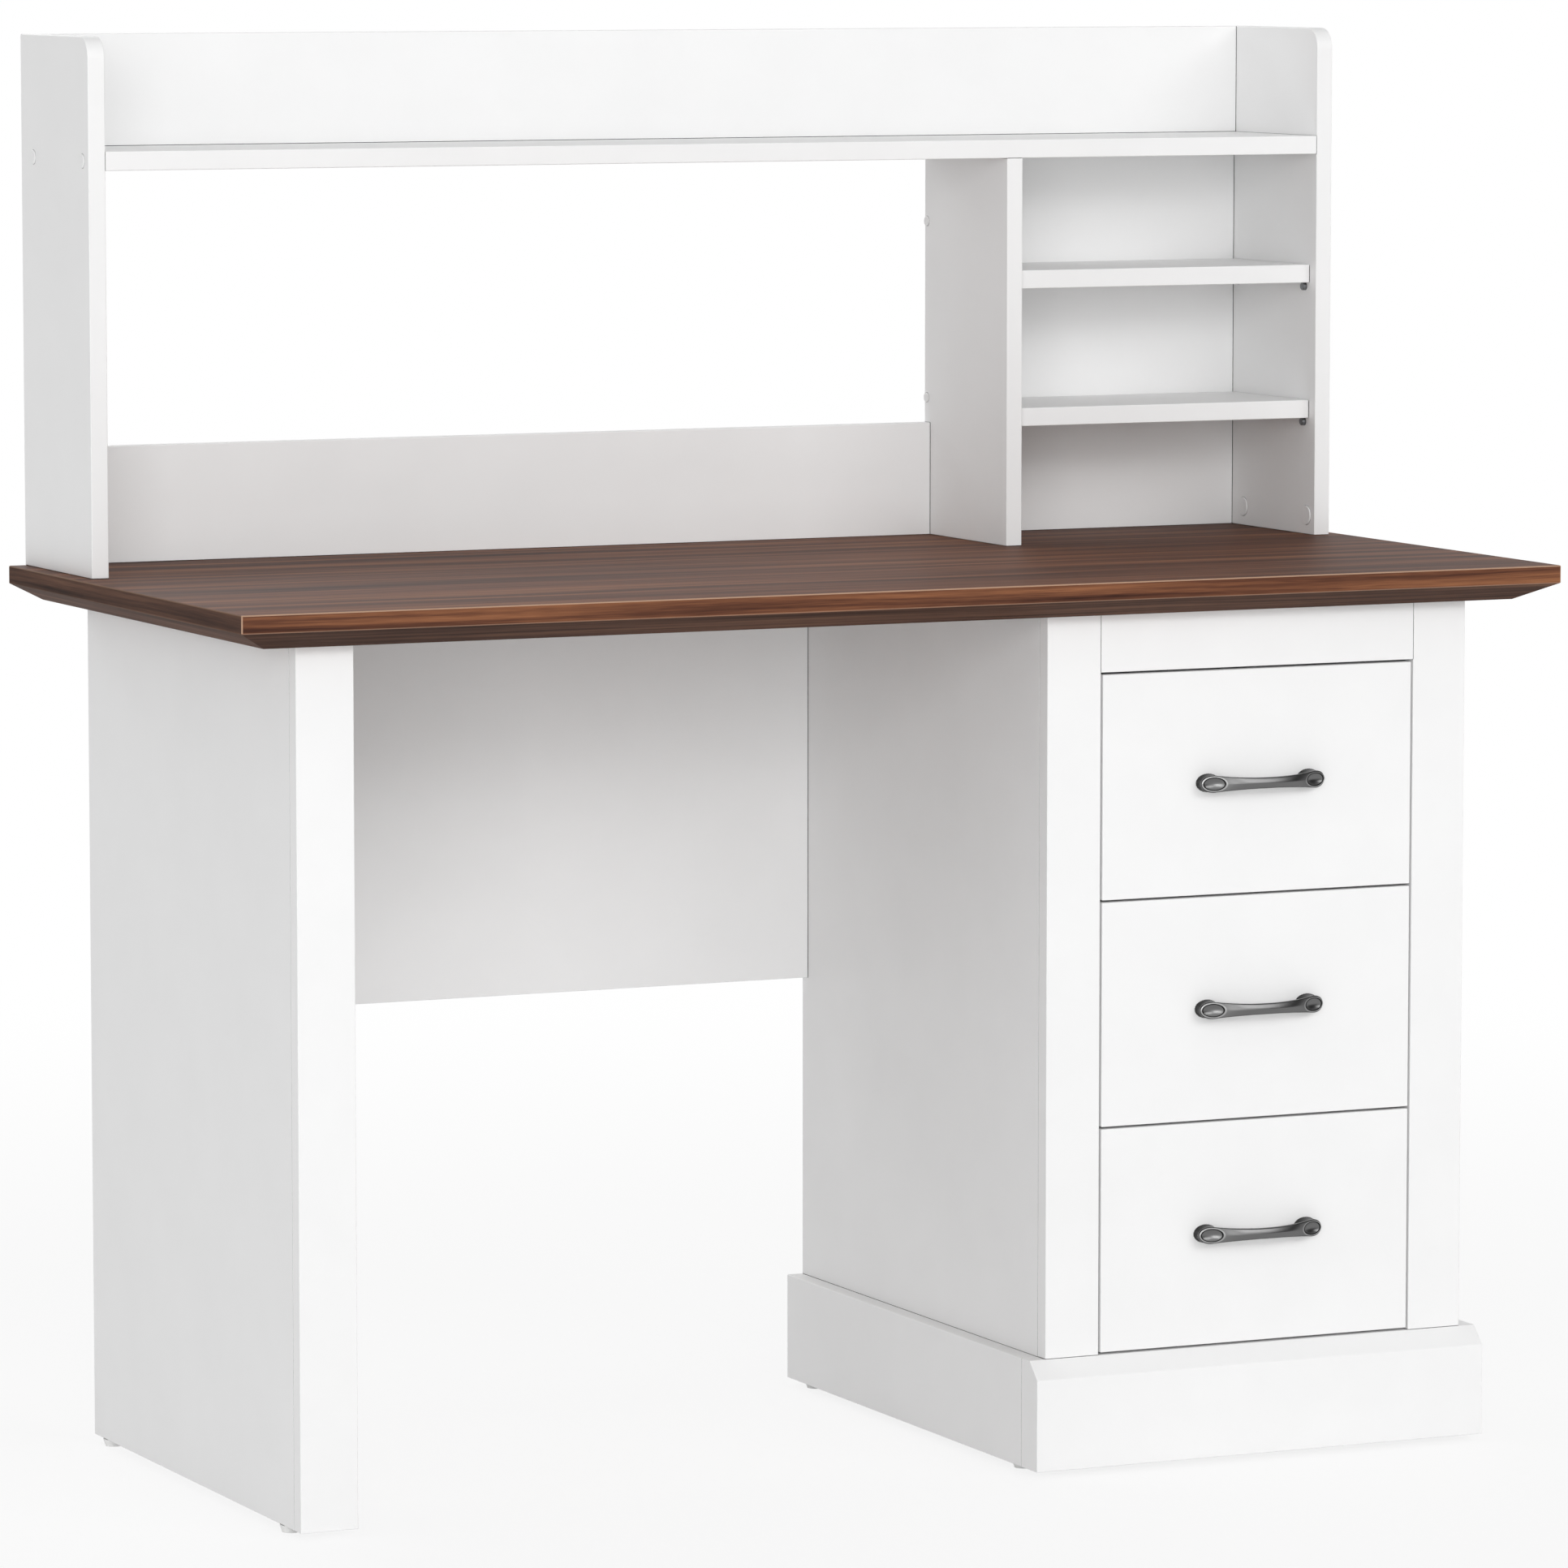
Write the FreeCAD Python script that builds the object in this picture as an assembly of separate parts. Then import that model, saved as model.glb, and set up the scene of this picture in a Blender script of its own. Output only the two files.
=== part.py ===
"""A pedestal desk with three drawers and a shelf hutch on top, as separate boards and fittings.

Millimetres. +Z is up, the drawers open towards -Y, and the origin is on the floor under the
middle of the desktop.
"""
import FreeCAD
import Part
import os

V = FreeCAD.Vector
X = V(1, 0, 0)
Y = V(0, 1, 0)
Z = V(0, 0, 1)

# Desktop
desk_width = 1200.0
desk_depth = 550.0
desk_height = 757.0
top_edge = 15.0
top_bevel_height = 15.0
top_bevel_inset = 30.0

# Carcass boards
board = 15.0
arris = 0.8
end_overhang = 65.0
front_overhang = 50.0
back_overhang = 15.0
stile_width = 50.0
modesty_height = 360.0
modesty_board = 12.0

# Pedestal
pedestal_width = 398.0
top_rail_height = 50.0
pedestal_back_board = 9.0
stretcher_width = 60.0

# Plinth
plinth_height = 93.0
plinth_front_board = 30.0
plinth_bevel = 15.0

# Foot glides
glide_height = 6.0
glide_top_diameter = 18.0
glide_foot_diameter = 14.0
glide_inset = 27.0

# Hutch
hutch_end_inset = 15.0
hutch_depth = 165.0
hutch_height = 450.0
hutch_board = 15.0
hutch_corner_radius = 18.0
shelf_board = 16.0
upper_back_height = 95.0
hutch_back_board = 12.0
lower_rail_height = 100.0
cubby_width = 291.0
cubby_back_board = 9.0
cubby_shelf_rises = (120.0, 240.5)
cubby_shelf_setback = 11.0
cubby_shelf_play = 0.5

# Shelf pins
pin_shank_diameter = 5.0
pin_shank = 8.0
pin_head_diameter = 7.0
pin_head = 8.0
pin_inset = 9.0

# Drawers
drawer_gap = 2.0
drawer_names = ("bottom", "middle", "top")
drawer_board = 12.0
drawer_side_height = 140.0
drawer_side_lift = 15.0
drawer_bottom_board = 4.0
drawer_bottom_lift = 8.0
housing_depth = 5.0
housing_play = 0.1

# Telescopic slides
slide_back_room = 58.0
slide_height = 45.0
slide_thickness = 12.7
slide_setback = 3.0
slide_rise = 85.0
rail_wall = 1.2
rail_play = 0.4
packer_height = 60.0

# Handles
handle_spacing = 96.0
handle_end_length = 21.0
handle_end_height = 14.5
handle_rim = 12.0
handle_tilt = 12.0
handle_bow = 10.0
handle_waist = 9.0
handle_flare = 14.0
handle_bar_thickness = 6.0
handle_dome_length = 18.0
handle_dome_height = 10.5
handle_dome_rise = 2.4
handle_sections = 9

# Fittings
fit = 0.3
dowel_diameter = 6.0
dowel_length = 30.0
dowel_face_depth = 10.0
cam_diameter = 15.0
cam_skin = 2.0
cam_set = 17.0
cam_slot_length = 9.0
cam_slot = 1.6
cam_bolt_diameter = 6.0
cam_bolt_thread = 5.0
cam_bolt_grip = 10.0
carcass_cam_inset = 110.0
carcass_dowel_inset = 150.0
modesty_fixing_inset = 60.0
hutch_front_fixing = 15.0
hutch_back_fixing = 30.0
cubby_back_low_fixing = 122.0
cubby_back_high_fixing = 60.0
screw_head_diameter = 9.0
screw_head = 2.5
screw_sink = 2.0
screw_shank = 5.0
screw_socket = 4.0
long_screw = 45.0
short_screw = 28.0
back_screw_head_diameter = 6.0
back_screw_shank = 3.5
back_screw_socket = 2.5
stretcher_fixing_inset = 80.0
screw_cap_diameter = 12.0
back_cap_diameter = 8.5
cam_cap_diameter = 17.0
cap_lip = 1.2
cap_arris = 0.5
rail_screw_head_diameter = 7.0
rail_screw_head = 1.3
rail_screw_shank = 3.5
rail_screw_length = 9.0
rail_screw_inset = 40.0
handle_screw_head_diameter = 8.0
handle_screw_head = 2.4
handle_screw_shank = 4.0
handle_screw_grip = 7.0

# Places that several pieces share
half_width = desk_width / 2
half_depth = desk_depth / 2
underside = desk_height - top_edge - top_bevel_height
carcass_x = half_width - end_overhang
front_y = -half_depth + front_overhang
frame_y = front_y + board
back_y = half_depth - back_overhang
pedestal_left = carcass_x - pedestal_width
pedestal_back_y = back_y - pedestal_back_board
slide_front_y = frame_y + slide_setback
slide_back_y = pedestal_back_y - slide_back_room
slide_length = slide_back_y - slide_front_y
opening_left = pedestal_left + stile_width
opening_right = carcass_x - stile_width
opening_middle = (opening_left + opening_right) / 2
plinth_top = glide_height + plinth_height
rail_bottom = underside - top_rail_height
modesty_bottom = underside - modesty_height
drawer_count = len(drawer_names)
drawer_pitch = (rail_bottom - plinth_top - drawer_gap) / drawer_count
drawer_front_height = drawer_pitch - drawer_gap
hutch_x = half_width - hutch_end_inset
hutch_inner_x = hutch_x - hutch_board
hutch_front_y = half_depth - hutch_depth
hutch_top = desk_height + hutch_height
shelf_top = hutch_top - upper_back_height
shelf_under = shelf_top - shelf_board
hutch_back_y = half_depth - hutch_back_board
cubby_back_y = half_depth - cubby_back_board
divider_right = hutch_inner_x - cubby_width
divider_left = divider_right - hutch_board

# Diameters of the head, shank and socket of the two sizes of panel screw
carcass_screw = (screw_head_diameter, screw_shank, screw_socket)
back_screw = (back_screw_head_diameter, back_screw_shank, back_screw_socket)

pieces = {}
drillings = {}


def add(node, *solids):
    """Puts solids into a named node."""
    pieces.setdefault(node, []).extend(solids)


def drill(tool, *nodes):
    """Keeps a hole to be cut from each named node when it is written."""
    for node in nodes:
        drillings.setdefault(node, []).append(tool)


def plain_box(x, y, z):
    """A box between the low and high values on each axis."""
    return Part.makeBox(x[1] - x[0], y[1] - y[0], z[1] - z[0], V(x[0], y[0], z[0]))


def eased(solid):
    """Rounds every arris as edge banding does."""
    return solid.makeFillet(arris, solid.Edges)


def panel(x, y, z):
    """A laminated board with eased arrises."""
    return eased(plain_box(x, y, z))


def rod(start, direction, diameter, length):
    """A round bar from start along direction."""
    return Part.makeCylinder(diameter / 2, length, start, direction)


def edges_at(solid, *tests):
    """The edges whose middle satisfies every (axis, value) pair."""
    found = []
    for edge in solid.Edges:
        middle = edge.BoundBox.Center
        if all(abs(getattr(middle, axis) - value) < 1e-6 for axis, value in tests):
            found.append(edge)
    return found


# Fittings that join two boards

def dowel(at, into, face_board, edge_board):
    """A dowel across a butt joint: at lies on the joint, into points into the edge board."""
    start = at - into * dowel_face_depth
    add("dowels", rod(start, into, dowel_diameter, dowel_length))
    hole = rod(start - into * fit, into, dowel_diameter + 2 * fit, dowel_length + 2 * fit)
    drill(hole, face_board, edge_board)


def cam_joint(at, into, face, thickness, face_board, edge_board, capped=False):
    """A cam in the edge board that draws in a bolt screwed into the face board.

    at lies on the joint at mid thickness, into points into the edge board, and face points out
    of the side of the edge board that the cam is let into.
    """
    centre = at + into * cam_set
    mouth = centre + face * (thickness / 2)
    pocket = thickness - cam_skin
    thread = rod(at - into * cam_bolt_grip, into, cam_bolt_thread, cam_bolt_grip)
    add("cam_bolts", thread.fuse(rod(at, into, cam_bolt_diameter, cam_set)))
    bore = rod(at, into, cam_bolt_diameter + 2 * fit, cam_set + fit)
    corner = V(-cam_slot_length / 2, -cam_slot / 2, -cam_slot)
    slot = Part.makeBox(cam_slot_length, cam_slot, cam_slot, corner)
    slot.Placement = FreeCAD.Placement(mouth, FreeCAD.Rotation(into, face.cross(into), face, "ZXY"))
    add("cam_locks", rod(mouth, -face, cam_diameter, pocket - fit).cut([bore, slot]))
    drill(rod(mouth, -face, cam_diameter + 2 * fit, pocket), edge_board)
    drill(bore, edge_board)
    pilot = cam_bolt_grip + fit
    drill(rod(at - into * pilot, into, cam_bolt_thread + 2 * fit, pilot), face_board)
    if capped:
        add("cover_caps", cap_disc(mouth, face, cam_cap_diameter))


def cap_disc(at, out, diameter):
    """A thin round cap with an eased outer rim."""
    disc = rod(at, out, diameter, cap_lip)
    rim = [edge for edge in disc.Edges if edge.Closed and (edge.BoundBox.Center - at).dot(out) > cap_lip / 2]
    return disc.makeFillet(cap_arris, rim)


def panel_screw(at, into, size, length, first, second, cap_diameter=None):
    """A panel screw whose head lies sunk below the face of the first board at the point at.

    size holds the diameters of the head, the shank and the socket. A cap covers the head on a
    face that shows.
    """
    head_diameter, shank_diameter, socket = size
    seat = at + into * screw_sink
    head = rod(seat, into, head_diameter, screw_head)
    shank = rod(seat, into, shank_diameter, length)
    add("panel_screws", head.fuse(shank).cut(rod(seat, into, socket, screw_head)))
    drill(rod(at, into, head_diameter + 2 * fit, screw_sink + screw_head), first)
    drill(rod(at, into, shank_diameter + 2 * fit, screw_sink + length + fit), first, second)
    if cap_diameter:
        peg = rod(at, into, head_diameter, screw_sink - fit)
        add("cover_caps", cap_disc(at, -into, cap_diameter).fuse(peg))


# Desktop

def rectangle(x0, x1, y0, y1, z):
    """A closed rectangle at one height."""
    return Part.makePolygon([V(x0, y0, z), V(x1, y0, z), V(x1, y1, z), V(x0, y1, z), V(x0, y0, z)])


def build_desktop():
    """A board whose lower half is bevelled in on the two ends and the front."""
    shoulder = desk_height - top_edge
    full = rectangle(-half_width, half_width, -half_depth, half_depth, shoulder)
    inner_x = half_width - top_bevel_inset
    inner = rectangle(-inner_x, inner_x, -half_depth + top_bevel_inset, half_depth, underside)
    bevel = Part.makeLoft([inner, full], True, True)
    edge = plain_box((-half_width, half_width), (-half_depth, half_depth), (shoulder, desk_height))
    add("desktop", eased(edge.fuse(bevel).removeSplitter()))


# Left leg and modesty panel

def build_leg():
    """A side panel behind a front stile, and the modesty panel that ties it to the pedestal."""
    side = "left_leg_side_panel"
    stile = "left_leg_front_stile"
    inner_x = -carcass_x + board
    height = (glide_height, underside)
    add(side, panel((-carcass_x, inner_x), (frame_y, back_y), height))
    add(stile, panel((-carcass_x, -carcass_x + stile_width), (front_y, frame_y), height))
    stile_dowels(stile, side, -carcass_x + board / 2, glide_height)
    side_to_top(side, -carcass_x + board / 2, X)
    modesty_y = back_y - modesty_board
    add("modesty_panel", panel((inner_x, pedestal_left), (modesty_y, back_y), (modesty_bottom, underside)))
    ends = ((inner_x, X, side), (pedestal_left, -X, "pedestal_left_side_panel"))
    for end_x, into, carrier in ends:
        for fixing_z in (modesty_bottom + modesty_fixing_inset, underside - modesty_fixing_inset):
            at = V(end_x, back_y - modesty_board / 2, fixing_z)
            cam_joint(at, into, Y, modesty_board, carrier, "modesty_panel")


def stile_dowels(stile, side_panel, middle_x, bottom):
    """Three dowels that hold a stile to the front edge of its side panel."""
    low = bottom + carcass_dowel_inset
    high = underside - carcass_dowel_inset
    for height in (low, (low + high) / 2, high):
        dowel(V(middle_x, frame_y, height), Y, stile, side_panel)


def side_to_top(side_panel, middle_x, face):
    """Two cams and a dowel that hold a side panel under the desktop."""
    for depth in (frame_y + carcass_cam_inset, back_y - carcass_cam_inset):
        cam_joint(V(middle_x, depth, underside), -Z, face, board, "desktop", side_panel)
    dowel(V(middle_x, (frame_y + back_y) / 2, underside), -Z, "desktop", side_panel)


# Pedestal and plinth

def build_pedestal():
    """Two side panels, a face frame, a bottom, a back and two stretchers under the desktop."""
    inner_left = pedestal_left + board
    inner_right = carcass_x - board
    inside = (inner_left, inner_right)
    height = (glide_height, underside)
    ends = (
        ("left", pedestal_left, inner_left, (pedestal_left, opening_left), X),
        ("right", inner_right, carcass_x, (opening_right, carcass_x), -X),
    )
    for name, low_x, high_x, stile_x, inward in ends:
        side = "pedestal_" + name + "_side_panel"
        stile = "pedestal_" + name + "_stile"
        middle_x = (low_x + high_x) / 2
        add(side, panel((low_x, high_x), (frame_y, back_y), height))
        add(stile, panel(stile_x, (front_y, frame_y), (plinth_top, underside)))
        stile_dowels(stile, side, middle_x, plinth_top)
        side_to_top(side, middle_x, inward)
    rail = "pedestal_top_rail"
    add(rail, panel((opening_left, opening_right), (front_y, frame_y), (rail_bottom, underside)))
    rail_y = (front_y + frame_y) / 2
    rail_z = (rail_bottom + underside) / 2
    dowel(V(opening_left, rail_y, rail_z), X, "pedestal_left_stile", rail)
    dowel(V(opening_right, rail_y, rail_z), -X, "pedestal_right_stile", rail)
    build_pedestal_inside(inside)
    build_plinth()


def build_pedestal_inside(inside):
    """The bottom panel, the back panel and the two stretchers."""
    bottom = "pedestal_bottom_panel"
    stretchers = "pedestal_top_stretchers"
    bottom_low = plinth_top - board
    bottom_z = plinth_top - board / 2
    stretcher_z = underside - board / 2
    ends = ((inside[0], X, "pedestal_left_side_panel"), (inside[1], -X, "pedestal_right_side_panel"))
    add(bottom, panel(inside, (frame_y, pedestal_back_y), (bottom_low, plinth_top)))
    add("pedestal_back_panel", panel(inside, (pedestal_back_y, back_y), (bottom_low, underside)))
    for depth in (frame_y + carcass_cam_inset, pedestal_back_y - carcass_cam_inset):
        for end_x, into, side_panel in ends:
            cam_joint(V(end_x, depth, bottom_z), into, -Z, board, side_panel, bottom)
    fixings_x = (inside[0] + stretcher_fixing_inset, inside[1] - stretcher_fixing_inset)
    for low_y in (frame_y, pedestal_back_y - stretcher_width):
        add(stretchers, panel(inside, (low_y, low_y + stretcher_width), (underside - board, underside)))
        middle_y = low_y + stretcher_width / 2
        for end_x, into, side_panel in ends:
            dowel(V(end_x, middle_y, stretcher_z), into, side_panel, stretchers)
        for fixing_x in fixings_x:
            under = V(fixing_x, middle_y, underside - board)
            panel_screw(under, Z, carcass_screw, short_screw, stretchers, "desktop")
    for fixing_x in fixings_x:
        for height, board_behind in ((bottom_z, bottom), (stretcher_z, stretchers)):
            at = V(fixing_x, back_y, height)
            panel_screw(at, -Y, back_screw, short_screw, "pedestal_back_panel", board_behind)


def build_plinth():
    """A thick front board with a bevelled top edge, and a side board along each side panel."""
    outer_left = pedestal_left - board
    outer_right = carcass_x + board
    height = (glide_height, plinth_top)
    plinth_y = frame_y - plinth_front_board
    front = plain_box((outer_left, outer_right), (plinth_y, frame_y), height)
    front = front.makeChamfer(plinth_bevel, edges_at(front, ("y", plinth_y), ("z", plinth_top)))
    add("plinth_front_board", eased(front))
    add("plinth_left_board", panel((outer_left, pedestal_left), (frame_y, back_y), height))
    add("plinth_right_board", panel((carcass_x, outer_right), (frame_y, back_y), height))
    middle_z = glide_height + plinth_height / 2
    sides = ((outer_left + board / 2, "plinth_left_board"), (outer_right - board / 2, "plinth_right_board"))
    for middle_x, side_board in sides:
        dowel(V(middle_x, frame_y, middle_z), Y, "plinth_front_board", side_board)


def build_glides():
    """Tapered plastic glides under the leg and under the seam of each plinth side board."""
    for centre_x in (-carcass_x + board / 2, pedestal_left, carcass_x):
        for centre_y in (frame_y + glide_inset, back_y - glide_inset):
            foot = V(centre_x, centre_y, 0)
            glide = Part.makeCone(glide_foot_diameter / 2, glide_top_diameter / 2, glide_height, foot, Z)
            add("foot_glides", glide)


# Hutch

def build_upright(node, low_x, high_x):
    """A hutch upright with its top front corner rounded."""
    upright = plain_box((low_x, high_x), (hutch_front_y, half_depth), (desk_height, hutch_top))
    corner = edges_at(upright, ("y", hutch_front_y), ("z", hutch_top))
    add(node, eased(upright.makeFillet(hutch_corner_radius, corner)))


def build_hutch():
    """Two uprights, a divider and a long shelf, with boards along parts of its back."""
    depth = (hutch_front_y, half_depth)
    build_upright("hutch_left_upright", -hutch_x, -hutch_inner_x)
    build_upright("hutch_right_upright", hutch_inner_x, hutch_x)
    add("hutch_divider", panel((divider_left, divider_right), depth, (desk_height, shelf_under)))
    add("hutch_top_shelf", panel((-hutch_inner_x, hutch_inner_x), depth, (shelf_under, shelf_top)))
    back = (hutch_back_y, half_depth)
    add("hutch_upper_back_board", panel((-hutch_inner_x, hutch_inner_x), back, (shelf_top, hutch_top)))
    rail_top = desk_height + lower_rail_height
    add("hutch_lower_back_rail", panel((-hutch_inner_x, divider_left), back, (desk_height, rail_top)))
    cubby_back = (cubby_back_y, half_depth)
    cubby_x = (divider_right, hutch_inner_x)
    add("hutch_cubby_back_panel", panel(cubby_x, cubby_back, (desk_height, shelf_under)))
    join_hutch()


def join_hutch():
    """Cams and dowels down into the desktop, screws through the uprights, dowels along the backs."""
    fixing_y = (hutch_front_y + hutch_front_fixing, half_depth - hutch_back_fixing)
    feet = (
        ("hutch_left_upright", -hutch_x + hutch_board / 2, X),
        ("hutch_divider", divider_left + hutch_board / 2, X),
        ("hutch_right_upright", hutch_x - hutch_board / 2, -X),
    )
    for node, middle_x, face in feet:
        for depth in fixing_y:
            cam_joint(V(middle_x, depth, desk_height), Z, face, hutch_board, "desktop", node, capped=True)
        dowel(V(middle_x, sum(fixing_y) / 2, desk_height), Z, "desktop", node)
    shelf_z = (shelf_under + shelf_top) / 2
    back_z = (shelf_top + hutch_top) / 2
    rail_z = desk_height + lower_rail_height / 2
    back_y_middle = (hutch_back_y + half_depth) / 2
    ends = (("hutch_left_upright", -1), ("hutch_right_upright", 1))
    for node, side in ends:
        for depth in fixing_y:
            at = V(side * hutch_x, depth, shelf_z)
            panel_screw(at, X * -side, carcass_screw, long_screw, node, "hutch_top_shelf", screw_cap_diameter)
        dowel(V(side * hutch_inner_x, back_y_middle, back_z), X * -side, node, "hutch_upper_back_board")
    dowel(V(-hutch_inner_x, back_y_middle, rail_z), X, "hutch_left_upright", "hutch_lower_back_rail")
    dowel(V(divider_left, back_y_middle, rail_z), -X, "hutch_divider", "hutch_lower_back_rail")
    for middle_x in (-hutch_inner_x / 2, 0, hutch_inner_x / 2):
        dowel(V(middle_x, back_y_middle, shelf_top), Z, "hutch_top_shelf", "hutch_upper_back_board")
    for depth in fixing_y:
        dowel(V(divider_left + hutch_board / 2, depth, shelf_under), -Z, "hutch_top_shelf", "hutch_divider")
    cubby_back_middle = (cubby_back_y + half_depth) / 2
    for height in (desk_height + cubby_back_low_fixing, shelf_under - cubby_back_high_fixing):
        for start_x, into, wall in ((divider_left, X, "hutch_divider"), (hutch_x, -X, "hutch_right_upright")):
            at = V(start_x, cubby_back_middle, height)
            panel_screw(at, into, back_screw, long_screw, wall, "hutch_cubby_back_panel", back_cap_diameter)


def build_cubby_shelves():
    """Two loose shelves, each on four pins in the divider and the right upright."""
    front = hutch_front_y + cubby_shelf_setback
    back = cubby_back_y - cubby_shelf_play
    span = (divider_right + cubby_shelf_play, hutch_inner_x - cubby_shelf_play)
    walls = ((divider_right, X, "hutch_divider"), (hutch_inner_x, -X, "hutch_right_upright"))
    for rise in cubby_shelf_rises:
        top = desk_height + rise
        under = top - shelf_board
        add("cubby_shelves", panel(span, (front, back), (under, top)))
        for wall_x, out, wall in walls:
            for depth in (front + pin_inset, back - pin_inset):
                shelf_pin(V(wall_x, depth, under - pin_head_diameter / 2), out, wall)


def shelf_pin(at, out, node):
    """A stepped steel pin: its shank is in a blind hole and the shelf rests on its head."""
    shank = rod(at - out * pin_shank, out, pin_shank_diameter, pin_shank)
    add("shelf_pins", shank.fuse(rod(at, out, pin_head_diameter, pin_head)))
    drill(rod(at - out * (pin_shank + fit), out, pin_shank_diameter + 2 * fit, pin_shank + fit), node)


# Drawers on telescopic slides

def build_drawer(number, name):
    """One drawer: an inset front, a box housed into its back, a handle and a pair of slides."""
    low_z = plinth_top + drawer_gap + number * drawer_pitch
    box_left = opening_left + slide_thickness
    box_right = opening_right - slide_thickness
    box_back = slide_back_y
    side_z = (low_z + drawer_side_lift, low_z + drawer_side_lift + drawer_side_height)
    bottom_z = side_z[0] + drawer_bottom_lift
    bottom_top = bottom_z + drawer_bottom_board
    housing_y = frame_y - housing_depth
    prefix = name + "_drawer_"
    inner = (box_left + drawer_board, box_right - drawer_board)
    front_x = (opening_left + drawer_gap, opening_right - drawer_gap)

    add(prefix + "front", panel(front_x, (front_y, frame_y), (low_z, low_z + drawer_front_height)))
    add(prefix + "left_side", plain_box((box_left, inner[0]), (housing_y, box_back), side_z))
    add(prefix + "right_side", plain_box((inner[1], box_right), (housing_y, box_back), side_z))
    add(prefix + "back", plain_box(inner, (box_back - drawer_board, box_back), (bottom_top, side_z[1])))
    bottom_x = (inner[0] - housing_depth, inner[1] + housing_depth)
    add(prefix + "bottom", plain_box(bottom_x, (housing_y, box_back), (bottom_z, bottom_top)))

    for side_x in ((box_left, inner[0]), (inner[1], box_right)):
        groove_x = (side_x[0] - housing_play, side_x[1] + housing_play)
        groove_z = (side_z[0] - housing_play, side_z[1] + housing_play)
        drill(plain_box(groove_x, (housing_y - housing_play, frame_y), groove_z), prefix + "front")
    groove_x = (bottom_x[0] - housing_play, bottom_x[1] + housing_play)
    groove_z = (bottom_z - housing_play, bottom_top + housing_play)
    groove = plain_box(groove_x, (housing_y - housing_play, box_back + housing_play), groove_z)
    drill(groove, prefix + "front", prefix + "left_side", prefix + "right_side")

    back_y_middle = box_back - drawer_board / 2
    back_z = (bottom_top + side_z[1]) / 2
    for height in ((bottom_top + back_z) / 2, (back_z + side_z[1]) / 2):
        box_screw(V(box_left, back_y_middle, height), X, prefix, "left_side")
        box_screw(V(box_right, back_y_middle, height), -X, prefix, "right_side")
    build_handle(prefix, V(opening_middle, front_y, low_z + drawer_front_height / 2))
    for edge_x, inward, side in ((opening_left, 1, "left"), (opening_right, -1, "right")):
        build_slide(name, side, edge_x, inward, low_z + slide_rise)


def box_screw(at, into, prefix, side):
    """A flush screw through a drawer side into the end of the drawer back."""
    head = rod(at, into, rail_screw_head_diameter, screw_head)
    shank = rod(at, into, rail_screw_shank, short_screw)
    add(prefix + "screws", head.fuse(shank))
    drill(rod(at, into, rail_screw_head_diameter + 2 * fit, screw_head), prefix + side)
    drill(rod(at, into, rail_screw_shank + 2 * fit, short_screw + fit), prefix + side, prefix + "back")


def channel(base_x, inward, back, lip, half_height, middle_z):
    """A rolled channel rail: its web stands at back and its flanges reach to lip, off the stile line."""
    step = rail_wall if lip > back else -rail_wall
    outline = (
        (back, half_height),
        (lip, half_height),
        (lip, half_height - rail_wall),
        (back + step, half_height - rail_wall),
        (back + step, rail_wall - half_height),
        (lip, rail_wall - half_height),
        (lip, -half_height),
        (back, -half_height),
    )
    points = [V(base_x + inward * across, slide_front_y, middle_z + up) for across, up in outline]
    return Part.Face(Part.makePolygon(points + points[:1])).extrude(Y * slide_length)


def build_slide(name, side, edge_x, inward, middle_z):
    """A three-part slide: fixed rail on a packer, middle rail, and drawer rail on the drawer side."""
    fixed_half = slide_height / 2
    middle_half = fixed_half - rail_wall - rail_play
    drawer_half = middle_half - rail_wall - rail_play
    middle_web = rail_wall + rail_screw_head + rail_play
    middle_lip = slide_thickness - rail_wall - rail_play
    drawer_lip = middle_web + rail_wall + rail_play
    out = X * inward
    prefix = name + "_drawer_"
    packer = "slide_packers"
    wall_x = edge_x - inward * (stile_width - board)
    packer_z = (middle_z - packer_height / 2, middle_z + packer_height / 2)
    add(packer, plain_box(sorted((wall_x, edge_x)), (frame_y, slide_back_y), packer_z))
    rails = (
        ("slide_fixed_rails", 0, middle_lip, fixed_half),
        (prefix + "middle_rails", middle_web, middle_lip, middle_half),
        (prefix + "rails", slide_thickness, drawer_lip, drawer_half),
    )
    for node, web, lip, half_height in rails:
        add(node, channel(edge_x, inward, web, lip, half_height, middle_z))
    side_panel = "pedestal_" + side + "_side_panel"
    drawer_side = prefix + side + "_side"
    drawer_x = edge_x + inward * slide_thickness
    slide_middle_y = (slide_front_y + slide_back_y) / 2
    for depth in (slide_front_y + rail_screw_inset, slide_middle_y, slide_back_y - rail_screw_inset):
        fixed_at = V(edge_x, depth, middle_z)
        rail_screw("slide_fixed_screws", fixed_at, -out, "slide_fixed_rails", packer)
        rail_screw(prefix + "screws", V(drawer_x, depth, middle_z), out, prefix + "rails", drawer_side)
    for depth in (slide_front_y + 2 * rail_screw_inset, slide_back_y - 2 * rail_screw_inset):
        dowel(V(wall_x, depth, middle_z), out, side_panel, packer)


def rail_screw(node, at, into, rail, board_behind):
    """A flat-headed screw through the web of a rail into what carries it; at lies on that board."""
    start = at - into * (rail_wall + rail_screw_head)
    head = rod(start, into, rail_screw_head_diameter, rail_screw_head)
    shank = rod(start, into, rail_screw_shank, rail_screw_head + rail_wall + rail_screw_length)
    add(node, head.fuse(shank))
    hole = rod(at - into * rail_wall, into, rail_screw_shank + 2 * fit, rail_wall + rail_screw_length + fit)
    drill(hole, rail, board_behind)


# Handles

def oval_wire(half_long, half_short, turn_axis, turn):
    """An ellipse about the origin, long along X, then turned about an axis."""
    wire = Part.Wire(Part.Ellipse(V(0, 0, 0), half_long, half_short).toShape())
    wire.rotate(V(0, 0, 0), turn_axis, turn)
    return wire


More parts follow.
